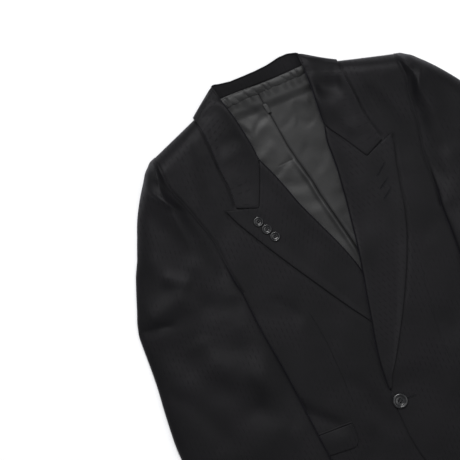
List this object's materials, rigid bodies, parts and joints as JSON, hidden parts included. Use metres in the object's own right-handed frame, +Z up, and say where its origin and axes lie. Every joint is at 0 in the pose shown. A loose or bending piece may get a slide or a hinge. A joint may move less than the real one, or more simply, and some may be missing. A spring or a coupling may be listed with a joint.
{
  "type": "cropped blazer",
  "caption": "Single-breasted peak-lapel blazer laid flat and buttoned, with notched collar, lapels, long sleeves, flap pockets and a cutaway hem.",
  "frame": {"origin": "on the underside of the back panel, on the garment's centre line, level with the foot of the armholes", "axes": "+X towards the wearer's left, +Y from the hem towards the collar, +Z up from the surface that the garment lies on"},
  "size_m": [0.696, 0.6829, 0.0373],
  "materials": {
    "suiting": "black wool suiting with a faint shadow stripe",
    "lining": "charcoal satin, slightly puckered",
    "button": "black, moulded and polished"
  },
  "bodies": {
    "root": {"back": "suiting", "front_left": "suiting", "front_right": "suiting", "lapel_left": "suiting", "lapel_right": "suiting", "collar": "suiting", "sleeve_left_upper": "suiting", "sleeve_left_under": "suiting", "sleeve_right_upper": "suiting", "sleeve_right_under": "suiting", "pocket_flap_left": "suiting", "pocket_flap_right": "suiting", "back_lining_left": "lining", "back_lining_right": "lining", "button_front": "button", "button_lapel_1": "button", "button_lapel_2": "button", "button_lapel_3": "button"}
  },
  "joints": []
}
